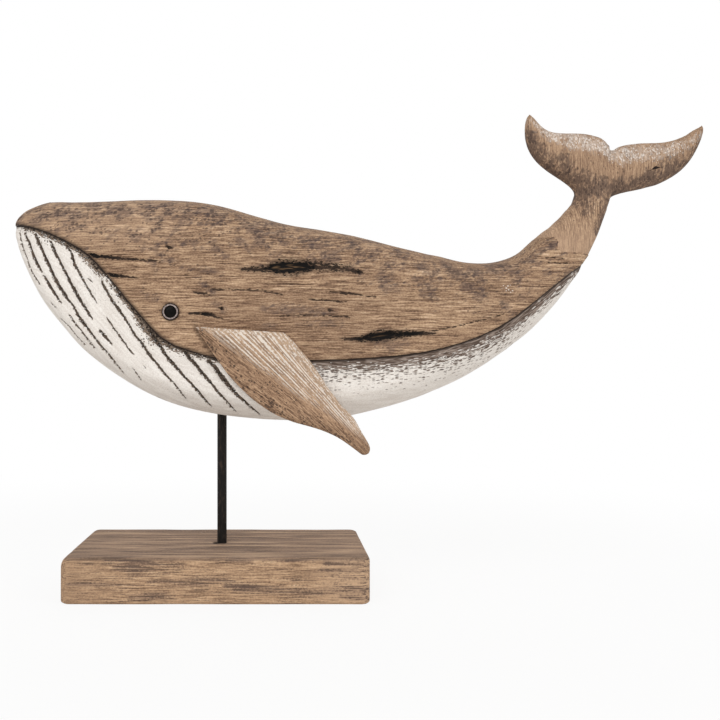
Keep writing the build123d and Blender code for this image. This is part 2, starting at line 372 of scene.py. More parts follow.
base_face = 1
base_height = 27
base_edge_wear = 0.9
base_side_wear = 0.2
left_end_wear, left_end_reach = 1.5, 3
chip_depth, chip_spot, chip_reach = 1.8, (-3.6, 0), (2, 2.6)

# How much further than its CAD node the plank reaches at its lowest and its highest corner
base_more_low, base_more_high = (0.6, 1.8, 0), (0.6, 2, 0.5)

# What stands for no drawn line nearby, and for no drawn patch
far_off, outside = 99, -9

# Dark streaks of stain on the front face, drawn as lines, as all marks below are: the points are
# millimetres along and up, and half the line's width there
base_front = -44
base_stains = [
    [(-66, 25.2, 0.7), (-50, 24.8, 1.4), (-20, 24.2, 0.7)],
    [(-60, 21.6, 0.8), (-46, 21.3, 1.6), (-20, 20.7, 0.8)],
    [(-52, 18.3, 0.4), (-44, 18.2, 0.8), (-30, 18.1, 0.4)],
    [(-51, 4, 0.6), (-42, 4.2, 1.1), (-25, 4.5, 0.6)], [(-43, 5.6, 0.3), (-38, 5.8, 0.6), (-30, 6.1, 0.3)],
    [(-40, 13.1, 0.3), (-28, 12.7, 0.6), (-6, 11.9, 0.3)],
    [(5, 11.3, 0.7), (18, 10.4, 1.4), (43, 8.7, 0.7)], [(10, 8.5, 0.4), (28, 8, 0.6), (61, 6.9, 0.4)],
    [(43, 8.7, 0.5), (59, 8.3, 0.9), (89, 7.5, 0.5)], [(61, 20.9, 0.3), (71, 20, 0.7), (90, 18.3, 0.3)],
    [(64, 24.5, 0.3), (73, 24, 0.6), (89, 23, 0.3)], [(67, 17.2, 0.3), (75, 16.1, 0.6), (89, 14.2, 0.3)],
    [(69, 11.9, 0.3), (76, 10.8, 0.6), (89, 8.7, 0.3)], [(72, 5.4, 0.3), (78, 4.6, 0.7), (89, 3.1, 0.3)],
    [(6, 26.1, 0.3), (11, 25.9, 0.7), (20, 25.6, 0.3)],
    [(-88, 11.9, 0.2), (-77, 11.7, 0.4), (-57, 11.3, 0.2)],
    [(-20, 16, 0.2), (-10, 15.2, 0.5), (10, 13.6, 0.2)],
]

base_mesh = even_copy("base_block", "worn_base", base_face, rounds=1)
points, normals = read_points(base_mesh)
low, high = np.array(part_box("base_block")) / mm
low, high = low - base_more_low, high + base_more_high
points = low + (points - points.min(axis=0)) * (high - low) / np.ptp(points, axis=0)
edge = np.clip(1 - np.abs(normals).max(axis=1), 0, 0.3) / 0.3
uneven = np.clip(bumpy(points, 22, seed=1) + 0.15, 0, 1) * (points[:, 2] > base_height / 2)
sawn = np.clip(bumpy(points * (0.3, 1, 1), 9, seed=2), 0, 1) * (np.abs(normals[:, 0]) < 0.5)
left_end = hollow(points[:, [0, 2]], (low[0], base_height), left_end_reach)
wear = base_edge_wear * edge * uneven + base_side_wear * sawn + left_end_wear * left_end
chip = hollow(points[:, :2], chip_spot, chip_reach) * (points[:, 2] > base_height - 3)
points -= normals * wear[:, None]
points[:, 2] = np.maximum(points[:, 2] - chip_depth * chip, 0)
write_points(base_mesh, points)
stain = np.where(points[:, 1] < base_front, within(points[:, [0, 2]], base_stains), outside)
store(base_mesh, chip=chip, stain=stain)

# Where a timber's five colours lie in its grain
grain_stops = (0.34, 0.43, 0.51, 0.59, 0.68)


def timber(wood, place, colours, run=26, width=0.8, turn=(0, 0, 0)):
    """Weathered grain that runs along X: its colour, and its relief from 0 to 1."""
    place = wood.drifted(place, 2.2)
    lines = wood.mottle((run, width, width), 0.7, turn, place=place)
    threads = wood.mottle((run * 0.35, width * 0.65, width * 0.65), 0.5, turn, (0.3, 0.1, 0.7), place)
    pits = wood.mottle((1.2, width * 0.9, width * 0.9), 1, turn, (0.7, 0.1, 0.2), place)
    bands = wood.mottle((run * 3, width * 5, width * 5), 2, turn, (0.5, 0.2, 0.1), place)
    grain = lines * 0.28 + threads * 0.34 + pits * 0.24 + bands * 0.14
    checks = wood.mottle((run * 1.8, width * 1.6, width * 1.6), 1, turn, (0.9, 0.4, 0.2), place)
    where = wood.mottle((24, 7, 7), 2, turn, (0.1, 0.9, 0.3), place).step(0.4, 0.58)
    check = abs(checks - 0.5).step(0.03, 0.006) * where
    pores = wood.marks((run * 0.2, width * 1.1, width), 0.25, turn, (0.2, 0.6, 0.4), place)
    stops = [(stop, *colour) for stop, colour in zip(grain_stops, colours)]
    return wood.ramp(grain - check * 0.08 - pores * 0.06, stops), grain - check * 0.3 - pores * 0.15


def base_finish():
    wood = Finish("stained_plank", roughness=0.85)
    along = wood.axis("X")
    up = wood.axis("Z")
    top = up.step(25.2 * mm, 26.6 * mm)
    warm = [(128, 102, 82), (160, 130, 103), (187, 153, 122), (204, 170, 136), (218, 187, 154)]
    wood.colour, height = timber(wood, wood.place, warm, run=24, width=1)
    wood.cover(along.step(-0.05, -0.09) * 0.45, (166, 135, 108))
    wood.cover(along.step(0.045, 0.08) * 0.6, (208, 174, 142))

    # The drawn streaks of stain and softer ones between them, broken up by the grain
    streaks = wood.mottle((50, 8, 4.5), 2, shift=(0.02, 0.01, 0.03))
    fine = wood.mottle((24, 1.4, 0.65), 1, shift=(0.4, 0.3, 0.2))
    dust = wood.mottle((1.2, 0.9, 0.8), 1, shift=(0.1, 0.3, 0.2))
    drawn = wood.stored("stain").step(-2.2, 1.2)
    soft = streaks.step(0.47, 0.62) * 0.3 * along.step(-0.09, -0.04) * up.step(0.002, 0.009)
    amount = drawn * 0.9 + soft + top * 0.35
    wood.cover(drawn * streaks.step(0.36, 0.6) * 0.5, (118, 97, 86))
    dark = (fine * 0.7 + dust * 0.3 + amount * 0.13).step(0.52, 0.7) * 0.8
    wood.cover(dark, (82, 67, 62))

    # The greyer top, with painted shadow darkening the chip beside the rod
    long = wood.mottle((75, 5, 9), 2.5, shift=(0.1, 0.2, 0.1), rough=0.65)
    greys = [(0.38, 84, 70, 64), (0.5, 128, 108, 95), (0.62, 186, 158, 133)]
    wood.cover(top * 0.6, wood.ramp(long, greys))
    wood.cover(wood.stored("chip").step(0.15, 0.4), (26, 20, 16))
    return wood.join(height=height - dark * 0.3, depth=0.35)


base = new_piece("worn_base", base_mesh, base_finish())
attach(base, "stand")
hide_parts("base_block")


# The support rod: round steel bar, painted black, with the paint a little browned and rubbed. It is
# pressed into the base and pushed into a bore in the belly, so that the whale can be turned on it.
def rod_finish():
    paint = Finish("black_rod", roughness=0.5, specular=0.2)
    specks = paint.mottle((1.2, 1.2, 5), 3)
    stops = [(0.35, 16, 13, 11), (0.55, 27, 23, 20), (0.72, 58, 47, 38)]
    paint.colour = paint.ramp(specks, stops)
    return paint.join(roughness=0.4 + specks * 0.3, height=specks, depth=0.05)


def dress(node, finish):
    """Gives a CAD node that is shown as it is its finish."""
    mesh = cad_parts[node].data
    mesh.materials.clear()
    mesh.materials.append(finish)


dress("support_rod", rod_finish())


# The whale's body: one block of reclaimed timber, carved by hand. The brown side is left rough, with its
# knots and splits. Below a carved jaw line the wood is set back, cut with throat pleats and painted white.
body_face = 1.7
pleat_depth = 1.5
split_depth = 1.1
jaw_groove_depth, jaw_groove_length = 0.9, 4.5
tool_mark_depth = 0.22
saw_mark_depth = 0.12

# How far beside a pleat or a split its dirt and frayed wood still show
pleat_reach = 0.9
split_reach = 3.6

# How far from the middle plane the flanks begin, and where they are flat
flank_start = 12
flank_flat = 38

# The stepped joint with the tail: its wall along, its two shelves up, the upper one's length, and how far
# the body runs on past it
joint_wall = 209.1
joint_upper = 220.4
joint_lower = 209.84
joint_shelf = 40
joint_reach = Vector((1.7, 0, 1.7))

# The jaw line along the flank, from ahead of the nose to beyond the tail stock
jaw_line = [
    (-142.4, 229), (-130, 228.4), (-121.1, 226.8), (-111.5, 224), (-102.1, 220.4), (-92.6, 215.9),
    (-83.1, 210.6), (-77.6, 206.6), (-72.8, 201.8), (-67.3, 195.4), (-61.8, 188.6), (-54.5, 179.6),
    (-47, 171), (-40.8, 163.9), (-34.8, 157.7), (-26.5, 152.6), (-17, 149.4), (-6.8, 146.2), (3.9, 143.9),
    (17, 143.1), (30.9, 143.1), (46, 143.4), (60.9, 143.8), (76, 144.2), (90.9, 145), (106, 146.3),
    (121, 148.2), (134.5, 150.9), (147.2, 154.5), (158.8, 158.7), (169.6, 163.8), (180.7, 170.6),
    (190.9, 178), (199.4, 184.4), (207.6, 190.6), (217.4, 197.8), (227, 204.9), (238, 213.7), (249, 222.8),
]

# Throat pleats on both flanks
pleat_lines = [
    [(-124.6, 223.8, 0.3), (-123.7, 218.1, 0.5), (-121.5, 211.6, 0.5), (-119.1, 206.4, 0.5),
     (-116.4, 199.7, 0.4), (-114.3, 195.9, 0.4), (-111.3, 192, 0.4), (-108.7, 188.7, 0.2)],
    [(-120, 223.7, 0.4), (-119.4, 219.4, 0.7), (-116.6, 215.2, 0.8), (-115.1, 211, 0.7),
     (-113.3, 207.2, 0.7), (-111.2, 202.8, 0.8), (-108.8, 199, 0.6), (-107.1, 196.8, 0.2)],
    [(-106.1, 194.5, 0.5), (-103.8, 191.1, 0.7), (-100.9, 186.2, 0.8), (-98.6, 182.9, 0.7),
     (-96.4, 179.8, 0.5), (-94.2, 177.1, 0.2)],
    [(-112.1, 220.4, 0.5), (-110.5, 216.6, 0.8), (-108.7, 213, 0.8), (-106.8, 209.3, 0.7),
     (-105.1, 205.2, 0.8), (-103.1, 201.8, 0.8), (-101.2, 197.4, 0.8), (-99.3, 193.7, 0.8),
     (-97.4, 190.1, 0.9), (-95, 186.2, 0.9), (-92.3, 182.6, 0.8), (-90.8, 179.9, 0.7), (-88.9, 178.3, 0.5),
     (-86.8, 174.7, 0.6), (-83.5, 169, 0.8), (-80.4, 164.8, 0.8), (-77.4, 160.9, 0.6), (-74.5, 157, 0.5),
     (-71.6, 153.1, 0.5), (-66.4, 147.1, 0.4), (-63.1, 142.6, 0.4), (-58.3, 135.6, 0.2)],
    [(-90.2, 171.1, 0.4), (-88.1, 168, 0.5), (-85.7, 164.7, 0.4), (-83.3, 161.7, 0.4), (-79.9, 157, 0.4),
     (-77.1, 153.4, 0.3), (-74.6, 150.1, 0.2)],
    [(-101.9, 215.5, 0.5), (-99.9, 211.2, 0.8), (-98.3, 207.3, 0.7), (-96.4, 204.1, 0.7),
     (-93.9, 199.2, 0.7), (-91.4, 194.9, 0.6), (-89.3, 190.1, 0.7), (-86.8, 186.2, 0.9), (-85, 182.5, 0.9),
     (-82.9, 179.2, 0.8), (-80.1, 175, 0.7), (-77.7, 171.1, 0.7), (-75.3, 167.8, 0.2)],
    [(-71.5, 161.4, 0.6), (-69.1, 158.7, 0.8), (-66.4, 155.7, 0.7), (-63.7, 153, 0.2)],
    [(-91.5, 212.3, 0.4), (-89.3, 209.2, 0.5), (-87.8, 205.6, 0.9), (-87.4, 202.4, 0.8),
     (-85.3, 198.8, 0.6), (-83.5, 195.5, 0.6), (-81, 190.7, 0.5), (-78.3, 186.4, 0.5), (-75.6, 181.9, 0.4),
     (-72.6, 177.1, 0.2)],
    [(-67.8, 170.2, 0.2), (-65.4, 166.6, 0.3), (-62.4, 161.8, 0.4), (-59.7, 158.5, 0.4),
     (-56.8, 154.5, 0.4), (-53.5, 149.7, 0.4), (-50.8, 147, 0.2)],
    [(-70.9, 192.3, 0.5), (-68.9, 187.9, 0.7), (-66.6, 183.7, 0.7), (-63.9, 179.2, 0.7), (-60.6, 175, 0.8),
     (-57.6, 170.5, 0.7), (-54.3, 165.7, 0.6), (-52.2, 161.8, 0.6), (-49.5, 157.6, 0.6),
     (-47.3, 155.2, 0.7), (-41.5, 146.7, 0.7), (-35.2, 139.2, 0.6), (-31.6, 134.7, 0.5),
     (-27.4, 129.9, 0.5), (-24, 125.6, 0.4), (-20.3, 120, 0.2)],
    [(-41.6, 161.2, 0.7), (-38.9, 156.7, 0.9), (-35.3, 152.1, 1), (-32.3, 147.3, 0.9), (-28.7, 143.1, 0.8),
     (-25.1, 138.9, 0.7), (-20.9, 134.1, 0.7), (-16.7, 129.6, 0.7), (-12.6, 125, 0.6), (-9.1, 120.2, 0.5),
     (-4.7, 115, 0.2)],
    [(-20.9, 149.4, 0.7), (-17.9, 145.2, 1), (-13.6, 140.7, 0.9), (-9.4, 135.3, 0.8), (-4.6, 129.9, 0.7),
     (0.1, 123.8, 0.6), (5.3, 117.6, 0.5), (11, 110.5, 0.2)],
    [(-6.3, 143.1, 0.8), (-2.1, 139.5, 1.1), (1.4, 134.1, 1.2), (5.6, 129.3, 1), (10.5, 123.3, 0.8),
     (15.2, 118.7, 0.7), (19.9, 114.3, 0.5), (25.2, 109.6, 0.2)],
    [(-79.3, 193.5, 0.2), (-77.2, 191.7, 0.3), (-75.4, 190.2, 0.2)],
    [(-45.7, 141, 0.2), (-44.2, 139.2, 0.4), (-42.7, 137.4, 0.2)],
    [(-52.2, 138.9, 0.2), (-49.4, 135.3, 0.2), (-47.4, 131.6, 0.2)],
    [(-102.5, 178.3, 0.2), (-100.5, 176.4, 0.2), (-98.5, 174.6, 0.2)],
    [(-97, 168.8, 0.2), (-93.5, 165.9, 0.2), (-90.1, 163.1, 0.2)],
    [(-90.3, 162.6, 0.2), (-86.3, 157.7, 0.2), (-81.7, 152.9, 0.2)],
]

# Pleats round the front of the chin, with points across and up. The other side's are a little higher.
chin_end = 10
chin_step, chin_half_below, chin_half_above = 185, 23.5, 16.5
chin_pleats = [
    [(-20, 182, 0.3), (-20.8, 165, 0.7), (-19.8, 142, 0.6), (-19, 126, 0.2)],
    [(-11.6, 221, 0.3), (-12.6, 208, 0.7), (-11.8, 184, 0.6), (-12.8, 158, 0.8), (-11.8, 134, 0.6),
     (-12.2, 119, 0.2)],
    [(-3.8, 218, 0.3), (-4.4, 202, 0.8), (-3.7, 180, 0.7), (-4.6, 154, 0.6), (-3.9, 132, 0.7),
     (-4.4, 114, 0.2)],
]
chin_pleats += [[(0.7 - across, up + 2.5, half) for across, up, half in line] for line in chin_pleats]

# Splits, knots and thin checks in the left flank
left_splits = [
    [(-77.2, 206.8, 1), (-74.5, 206.2, 0.9), (-69.1, 205.3, 0.7), (-63.7, 205.2, 0.7), (-57.7, 204.5, 0.5),
     (-51.7, 204.2, 0.6), (-43.9, 203.6, 0.4), (-35, 202.7, 0.2)],
    [(-66.1, 194.8, 0.7), (-63.1, 194.5, 0.8), (-58.9, 194, 0.7), (-52.9, 193.4, 0.4), (-48.1, 192.5, 0.2)],
    [(-18.2, 171.5, 0.4), (-14, 171.8, 0.5), (-9.2, 171.5, 0.8), (-5, 170.9, 0.7), (-1.4, 169.7, 0.4),
     (2.8, 168.5, 0.2)],
    [(14, 198.2, 0.3), (20, 197.9, 0.5), (27, 198.2, 0.6), (30, 198.6, 1.4), (33, 199, 3), (38, 199.3, 3.9),
     (44, 199.5, 4), (50, 199.7, 3.3), (54.5, 199.6, 1.9), (58, 199.4, 0.6), (66, 199.2, 0.3),
     (76, 198.4, 0.3), (81, 197, 0.5), (84, 196.5, 0.8), (87, 196.1, 0.3)],
    [(76, 156.2, 0.4), (84, 156.5, 0.8), (89, 156.9, 1.5), (92, 157.4, 2.5), (97, 157.9, 2.8),
     (102, 158.4, 2.5), (106, 158.7, 1.6), (112, 159.1, 0.9), (120, 159.6, 0.8), (130.5, 160, 0.3)],
    [(-5.6, 185.9, 0.2), (4, 185.9, 0.3), (18.9, 185.7, 0.4), (23.7, 185.6, 0.2)],
    [(24.9, 185.6, 0.2), (32.1, 184.1, 0.3), (38.7, 182.9, 0.2)],
    [(-15.8, 184.7, 0.2), (-11, 183.8, 0.4), (-5, 182.9, 0.2)],
    [(66.8, 184.7, 0.2), (74.6, 183.8, 0.5), (81.8, 183.2, 0.4), (87.2, 182.3, 0.2), (94.4, 181.4, 0.2)],
    [(53.7, 180.2, 0.2), (60.8, 179.6, 0.4), (68.6, 179, 0.4), (76.4, 178.4, 0.2)],
    [(36.9, 170, 0.2), (48.9, 170.6, 0.2), (66.8, 170.3, 0.3), (78.8, 169.4, 0.2)],
    [(128.2, 161.1, 0.3), (142.3, 163.9, 0.15), (157.9, 167.7, 0.12), (173.2, 171.8, 0.1)],
    [(-32, 211.6, 0.3), (-29.7, 211.3, 0.7), (-27.2, 211, 0.3)],
    [(0.7, 174.8, 0.5), (1.9, 174.6, 0.8), (3.1, 174.5, 0.4)],
    [(66.2, 173.6, 0.4), (67.4, 173.4, 0.6), (68.6, 173.3, 0.3)],
    [(201, 207.6, 0.1), (206, 207.2, 0.14), (214, 206.9, 0.1)],
    [(203, 204.4, 0.1), (210, 204, 0.14), (218, 203.6, 0.1)],
]

# Crumbled wood around the knots
left_crumbled = [
    [(13.5, 198, 1.2), (20, 198, 2.4), (30, 198.4, 3.2)],
    [(52, 199.8, 4.2), (60, 199.6, 3.8), (67.6, 199.4, 3.6), (77, 198.4, 2.8), (84.5, 196.8, 1.2)],
    [(73, 156.6, 1), (80, 156.2, 2), (91, 156.8, 3.2)],
    [(103, 158.8, 3.6), (114, 159.4, 2.8), (124, 159.8, 1.8), (131, 160, 0.8)],
]
right_crumbled = [
    [(-34, 186.6, 1.5), (-22, 187, 3)], [(4, 186, 2.8), (20, 186.4, 1.2)],
    [(76, 204.4, 1.6), (88, 204, 2.6), (100, 203.6, 2.4), (112, 203, 1.2)],
]

# Scuffs: paint rubbed off the white near the jaw line, and a little rubbed on to the brown at the rear
scuffs = [
    [(-110, 219, 2), (-105, 214.5, 2.4)], [(-64, 187, 2.2), (-57, 178, 2.2)],
    [(-44, 157.5, 2.6), (-40, 153, 2)], [(-80, 203.5, 1.8), (-74, 198, 1.8)],
    [(-120, 224, 1.6), (-114, 222, 1.6)], [(174, 188.4, 1.5), (178, 187.4, 1.9)],
    [(-28, 149.5, 2), (-22, 147, 1.6)],
]

# Patches of grey stain in the left flank's old outer wood
left_stains = [
    [(-68, 237, 1.8), (-62, 237, 2.7), (-53, 233, 2.1)],
    [(-100, 234, 1.5), (-93, 232, 2.4), (-86, 229, 1.2)], [(-110, 233, 1.2), (-103, 231, 2.1)],
    [(-83, 238, 1.5), (-75, 237, 1.8)], [(-44, 232, 1.5), (-36, 224, 2.1)],
    [(-34, 237, 2.1), (-29, 233, 3), (-23, 227, 1.8)],
    [(-21, 232, 1.8), (-12, 235, 2.4), (-5, 234, 2.4), (2, 229, 2.4)], [(-54, 220, 1.5), (-49, 217, 1.8)],
    [(-45, 211, 2.1), (-42, 210, 2.1)], [(-37, 210, 2.4), (-32, 205, 2.7), (-26, 201, 1.8)],
    [(-30, 214, 1.8), (-27, 211, 1.8)], [(-21, 214, 1.5), (-13, 212, 2.1)],
    [(-4, 214, 2.4), (-1, 210, 2.7), (5, 205, 1.8)],
    [(13, 230, 1.8), (19, 224, 2.7), (23, 218, 3), (28, 212, 2.4)], [(11, 216, 1.5), (17, 212, 1.8)],
    [(33, 219, 1.8), (39, 214, 1.8)], [(53, 214, 2.7), (61, 213, 3.3)], [(63, 209, 2.4), (69, 205, 3.6)],
    [(78, 218, 1.8), (83, 213, 1.8)], [(85, 210, 1.8), (86, 204, 1.5)], [(109, 211, 2.1), (114, 205, 1.5)],
    [(98, 195, 3), (100, 188, 4.8), (106, 187, 2.4)], [(120, 192, 2.4), (125, 188, 2.4)],
    [(124, 183, 2.1), (129, 182, 2.4)], [(122, 200, 1.5), (132, 197, 1.8)],
    [(138, 203, 2.5), (142, 198, 4), (149, 196, 2.4)], [(150, 187, 3), (158, 183, 3)],
    [(157, 199, 2.5), (160, 192, 2.4)], [(166, 202, 2.5), (169, 199, 1.9)],
    [(176, 203, 2.5), (179, 201, 2.5)], [(180, 200, 2.5), (183, 191, 1.8)],
    [(173, 177, 2.4), (178, 171, 2.4)], [(199, 219, 0), (204, 218, 1), (207, 213, 0.2)],
    [(-12, 193, 1.8), (-3, 184, 2.4)], [(-45, 184, 1.8), (-37, 180, 2.4)], [(-2, 177, 2.1), (3, 174, 2.4)],
    [(26, 175, 1.8), (43, 174, 3.6), (69, 172, 2.4)], [(26, 164, 1.5), (34, 164, 1.8)],
    [(48, 166, 1.2), (73, 165, 2.1)], [(-41, 203, 2.1), (-38, 197, 1.8)],
    [(-22, 199, 1.2), (-8, 198, 1.8), (2, 195, 1.2)], [(97, 153.5, 3.4), (104, 152, 4.4), (111, 153.5, 3)],
]

# The right flank has its own marks, in other places
right_splits = [
    [(-112, 208, 0.4), (-98, 207, 0.8), (-84, 206.6, 1), (-66, 205.4, 0.7), (-48, 205.6, 0.2)],
    [(-40, 186, 0.3), (-28, 186.6, 1.4), (-17, 187, 3), (-6, 186.6, 3.2), (6, 186, 1.6), (22, 186.4, 0.9),
     (38, 185.4, 0.2)],
    [(52, 165, 0.3), (63, 165.6, 0.8), (75, 166, 0.3)],
    [(60, 205, 0.3), (74, 204.4, 1), (84, 204, 2.4), (94, 204, 2.6), (104, 203.4, 1.2), (122, 202.4, 0.2)],
    [(118, 178, 0.2), (135, 179, 0.5), (152, 180.6, 0.2)],
    [(-58, 174, 0.3), (-44, 173.4, 0.8), (-30, 173.4, 0.2)],
    [(96, 157, 0.2), (110, 158, 0.5), (124, 160, 0.2)],
]
right_stains = left_stains[20:] + left_stains[:14]
right_stains = [[(12 - along * 0.9, up, half) for along, up, half in line] for line in right_stains]

# How far the bare wood of the jaw groove, darkened with painted shade, reaches below the jaw line:
# millimetres along, and down
bare_band = [
    (-125, 1.5), (-112, 3.4), (-83, 3.2), (-76, 4.6), (-71, 3.4), (-66, 1.6), (-60, 2.2), (-48, 4.6),
    (-40, 5), (-30, 3.2), (-6, 2.4), (60, 3.4), (85, 5.2), (150, 5.4), (175, 4.5), (200, 5), (220, 3),
]

# What the carver took off the back, and off the underside: millimetres along, and deep
back_trim = [
    (-134, 1.1), (-128, 0.7), (-123, 0), (-112, 0), (-104, 0.4), (-95, 0.7), (-84, 1), (-77, 0.85),
    (-69, 0.55), (-60, 0.25), (-52, 0), (60, 0), (69, 0.3), (77, 0.5), (84, 0.7), (92, 1.1), (100, 1.2),
    (108, 1.3), (115, 1.2), (123, 0.9), (130, 0.7), (138, 0),
]
underside_trim = [
    (-138, 0.5), (-130, 0.9), (-115, 1), (-100, 0.5), (-86, 0), (-70, -0.25), (-10, -0.35), (90, -0.3),
    (98, -0.5), (106, -0.8), (114, -0.9), (124, -0.7), (129, -0.4), (134, 0.1), (146, 0.5), (160, 0.4),
    (165, 0), (170, -0.3), (175, -0.6), (180, -0.8), (186, 0),
]

# A swell where the underside meets the tail stock
swell_spot, swell_reach, swell_height = (227, 202), 6, 1

# The eye's centre, and how the wood round its socket is drawn in to the ring
eye_spot = np.array((-28.8, 172.6))
socket_radius, socket_reach, socket_draw = 5.4, 1.4, 0.9

# How far apart the stations are at which outlines are measured
station_gap = 4


def line_marks(points):
    """For each point: distance below the jaw line, and distance and half width of the nearest cut."""
    flat = points[:, [0, 2]]
    below = -from_line(flat, jaw_line)[0]
    pleat, pleat_half = from_lines(flat, pleat_lines)
    chin, chin_half = from_lines(points[:, [1, 2]], chin_pleats)
    reach = np.where(points[:, 2] < chin_step, chin_half_below, chin_half_above)
    on_chin = (np.abs(points[:, 1]) < reach) & (points[:, 0] < chin_end)
    left, left_half = from_lines(flat, left_splits)
    right, right_half = from_lines(flat, right_splits)
    on_left = points[:, 1] < 0
    split = np.where(np.abs(points[:, 1]) > flank_start, np.where(on_left, left, right), far_off)
    white = below > 0
    cut = np.where(white, np.where(on_chin, chin, pleat), split)
    split_half = np.where(on_left, left_half, right_half)
    half = np.where(white, np.where(on_chin, chin_half, pleat_half), split_half)
    half = np.where(np.abs(cut) - half > np.where(white, pleat_reach, split_reach), -1, half)
    return below, cut, half


def inside_zones(points, left, right):
    """How far each point lies inside the patches drawn on its own flank."""
    flat = points[:, [0, 2]]
    depth = np.where(points[:, 1] < 0, within(flat, left), within(flat, right))
    return np.where(np.abs(points[:, 1]) > flank_start, depth, outside)


def refine_near(mesh, near):
    """Halves the faces where near is true."""
    bm = bmesh.new()
    bm.from_mesh(mesh)
    bm.verts.ensure_lookup_table()
    edges = [edge for edge in bm.edges if near[edge.verts[0].index] and near[edge.verts[1].index]]
    bmesh.ops.subdivide_edges(bm, edges=edges, cuts=1, use_grid_fill=True)
    smoothed(bm, [vert for vert in bm.verts if vert.index < 0 or vert.index >= len(near)])
    bm.to_mesh(mesh)
    bm.free()


def past_joint(spot):
    """The body's faces at the stepped joint go on into the tail, so that no gap is left."""
    across, up = spot.x / mm - joint_wall, spot.z / mm
    on_wall = abs(across) < 0.1 and joint_lower - 0.1 < up < joint_upper + 0.1
    on_upper = -joint_shelf <= across < 0.1 and abs(up - joint_upper) < 0.1
    on_lower = across > -0.1 and abs(up - joint_lower) < 0.1
    return spot + joint_reach * mm if on_wall or on_upper or on_lower else spot


def hand_carved(points):
    """How much the carver's cuts take off the surface, in millimetres."""
    return tool_mark_depth * (bumpy(points, 34, seed=3) + 0.3)


def jaw_groove(below):
    """How deep the groove under the jaw line is: it starts steeply and runs out downwards."""
    return jaw_groove_depth * np.clip(below / 0.8, 0, 1) * np.clip(1 - below / jaw_groove_length, 0, 1)


def trimmed(points, facing, depths):
    """What was taken off the faces that face this way: depths are millimetres along, and deep."""
    return np.interp(points[:, 0], *zip(*depths)) * np.clip(facing, 0, 1)


def most_by_station(points, along, numbers):
    """The stations along X (0) or Z (2), the most of these numbers at each, and each point's station."""
    stations, station = np.unique(np.round(points[:, along] / station_gap), return_inverse=True)
    most = np.array([numbers[station == index].max() for index in range(len(stations))])
    return stations * station_gap, most, station


def straightened(points, along, width):
    """How deep each point lies in the timber, for grain along X (0) or Z (2). The piece is drawn to one
    width with flat flanks, so that the grain stays straight on them."""
    stations, widest, _ = most_by_station(points, along, np.abs(points[:, 1]))
    share = points[:, 1] / np.interp(points[:, along], stations, widest)
    return np.clip(share, -0.6, 0.6) * width / 2


body_mesh = even_copy("body_block", "carved_body", body_face, rounds=2, moved=past_joint)
below, cut, half = line_marks(read_points(body_mesh)[0])
by_jaw = (below > -2) & (below < 5)
refine_near(body_mesh, (half > 0) | by_jaw)
points, normals = read_points(body_mesh)
flat = points[:, [0, 2]]
below, cut, half = line_marks(points)
profile = np.where(half > 0, np.clip(1.25 - np.abs(cut) / (half + 0.35), 0, 1), 0)
depth = np.where(below > 0, pleat_depth, split_depth) * profile * np.clip(half + 0.25, 0, 2)
depth += jaw_groove(below)
depth += hand_carved(points) + saw_mark_depth * bumpy(points * (0.25, 1, 1), 4, seed=4) * (below < 0)
depth -= swell_height * hollow(flat, swell_spot, swell_reach)
depth += trimmed(points, normals[:, 2], back_trim) * (below < -20)
depth += trimmed(points, -normals[:, 2], underside_trim) * (below > 0)
from_eye = flat - eye_spot
eye_gap = np.maximum(np.hypot(*from_eye.T), 0.1)
on_rim = np.exp(-(((eye_gap - socket_radius) / socket_reach) ** 2)) * (np.abs(points[:, 1]) > flank_flat)
points -= normals * depth[:, None]
points[:, [0, 2]] -= from_eye * (socket_draw * on_rim / eye_gap)[:, None]
write_points(body_mesh, points)
_, back, station = most_by_station(points, 0, points[:, 2])
store(
    body_mesh, below_jaw=below, cut=np.abs(cut), side=cut, cut_half=half,
    band=np.interp(points[:, 0], *zip(*bare_band)), level=straightened(points, 0, width=100),
    stain=inside_zones(points, left_stains, right_stains),
    crumbled=inside_zones(points, left_crumbled, right_crumbled),
    scuffed=inside_zones(points, scuffs, scuffs), from_back=back[station] - points[:, 2],
)

timber_browns = [(88, 67, 53), (130, 102, 81), (167, 136, 108), (196, 164, 133), (224, 194, 164)]


